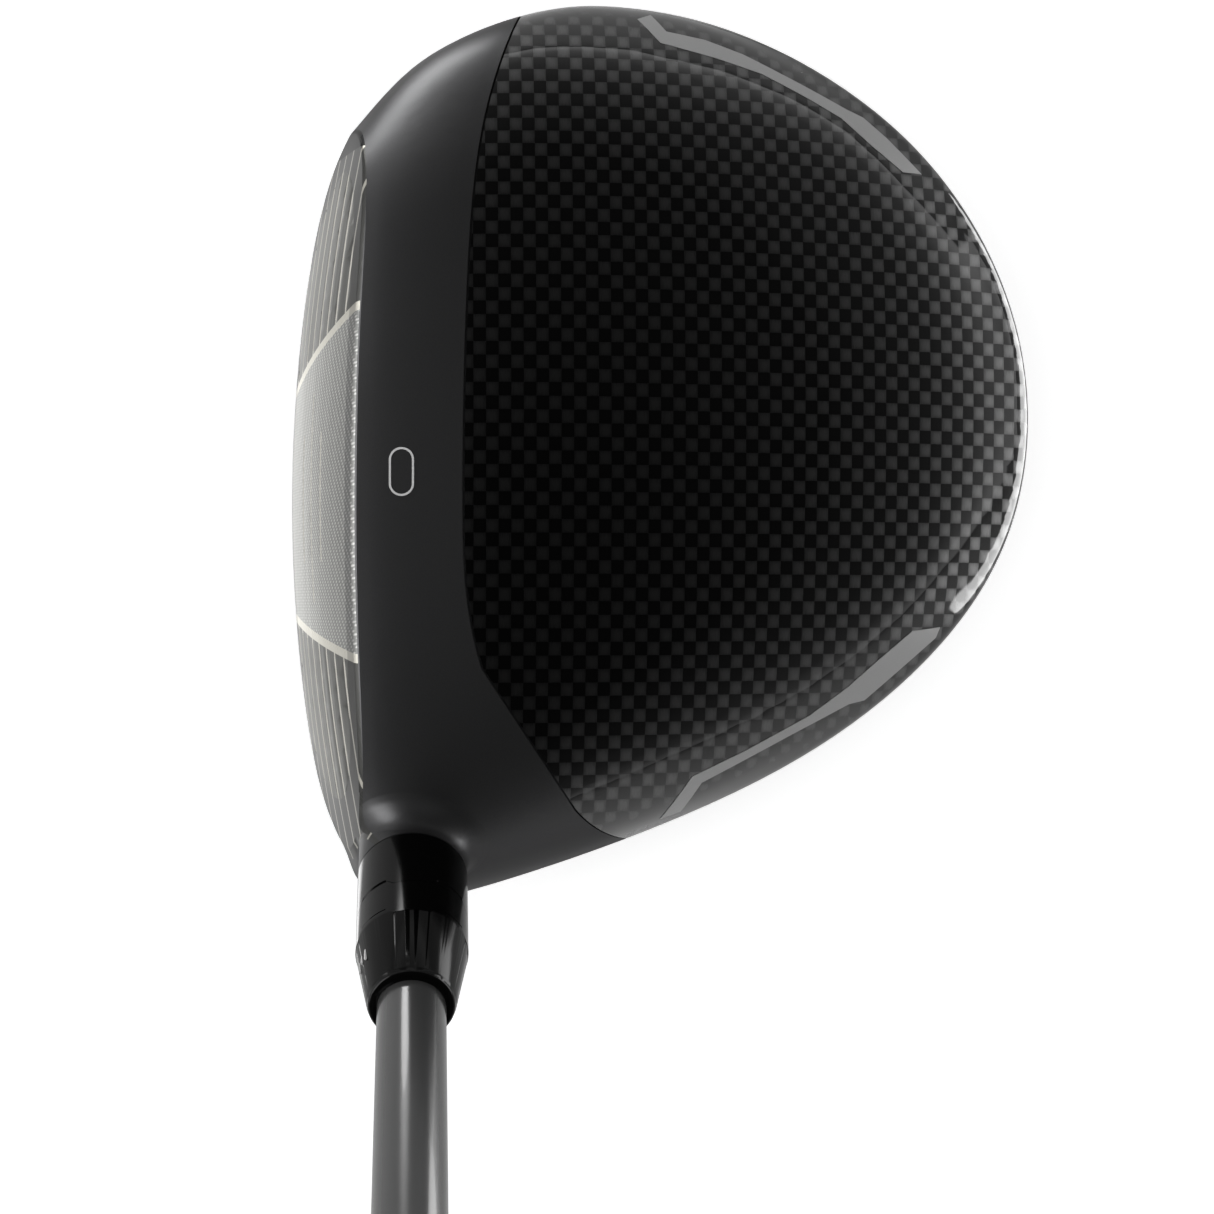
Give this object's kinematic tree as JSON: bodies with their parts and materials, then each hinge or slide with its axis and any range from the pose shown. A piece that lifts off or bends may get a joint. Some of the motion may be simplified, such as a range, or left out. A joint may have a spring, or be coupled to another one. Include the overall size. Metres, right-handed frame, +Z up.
{
  "type": "golf driver",
  "caption": "Golf driver: hollow head with bulged face, carbon crown and sole, screw-in weights, toothed hosel adapter, tapered shaft and rubber grip.",
  "frame": {"origin": "on the ground in the middle of the sole's flat landing pad, the club standing at address", "axes": "+Z up, -Y towards the target on the face side, +X towards the golfer on the heel and shaft side"},
  "size_m": [0.7176, 0.1077, 0.9909],
  "materials": {
    "face_titanium": "brushed titanium face with fine score lines",
    "body_titanium": "satin dark grey paint on cast titanium",
    "crown_carbon": "clear-coated plain weave carbon fibre",
    "sole_carbon": "clear-coated carbon fibre",
    "inner_carbon": "raw moulded carbon fibre",
    "inner_polymer": "natural nylon",
    "port_titanium": "machined titanium",
    "weight_steel": "bead-blasted tungsten alloy",
    "screw_steel": "polished steel",
    "seal_rubber": "black rubber",
    "adapter_black": "gloss black anodised aluminium",
    "ferrule_black": "polished black plastic",
    "shaft_grey": "gloss grey paint on a graphite shaft",
    "grip_tape": "paper-backed tape",
    "grip_rubber": "moulded black rubber with a fine grip pattern"
  },
  "bodies": {
    "club": {"shaft": "shaft_grey", "tip_plug": "inner_polymer", "grip_tape": "grip_tape", "grip": "grip_rubber", "grip_cap": "grip_rubber", "ferrule": "ferrule_black", "adapter_sleeve": "adapter_black"},
    "lower_cog": {"lower_cog": "adapter_black"},
    "head": {"front_body": "body_titanium", "crown_panel": "crown_carbon", "sole_shell": "sole_carbon", "face_plate": "face_titanium", "face_polymer_layer": "inner_polymer", "face_carbon_backing": "inner_carbon", "rear_weight_port": "port_titanium", "rear_weight_seal": "seal_rubber", "front_weight_port": "port_titanium", "front_weight_seal": "seal_rubber", "bolt_washer": "inner_polymer"},
    "hosel_bolt": {"hosel_bolt": "screw_steel", "bolt_retainer": "inner_polymer"},
    "rear_weight": {"rear_weight": "weight_steel"},
    "rear_screw": {"rear_weight_screw": "screw_steel"},
    "front_weight": {"front_weight": "weight_steel"},
    "front_screw": {"front_weight_screw": "screw_steel"}
  },
  "joints": [
    {"name": "cog_release", "type": "slide", "parent": "club", "child": "lower_cog", "axis": [-0.5299, 0, -0.848], "range_m": [0, 0.004]},
    {"name": "head_release", "type": "slide", "parent": "lower_cog", "child": "head", "axis": [-0.5299, 0, -0.848], "range_m": [0, 0.042]},
    {"name": "bolt_turn", "type": "hinge", "parent": "head", "child": "hosel_bolt", "pos_m": [0.021, -0.01335, 0], "axis": [0.5299, 0, 0.848], "continuous": true},
    {"name": "rear_weight_release", "type": "slide", "parent": "head", "child": "rear_weight", "axis": [0, 0.6428, -0.766], "range_m": [0, 0.016]},
    {"name": "rear_screw_turn", "type": "hinge", "parent": "rear_weight", "child": "rear_screw", "pos_m": [0, 0.05207, 0.00962], "axis": [0, 0.6428, -0.766], "continuous": true},
    {"name": "front_weight_release", "type": "slide", "parent": "head", "child": "front_weight", "axis": [0, -0.1045, -0.9945], "range_m": [0, 0.016]},
    {"name": "front_screw_turn", "type": "hinge", "parent": "front_weight", "child": "front_screw", "pos_m": [-0.013, -0.01003, 0.0007], "axis": [0, -0.1045, -0.9945], "continuous": true}
  ]
}
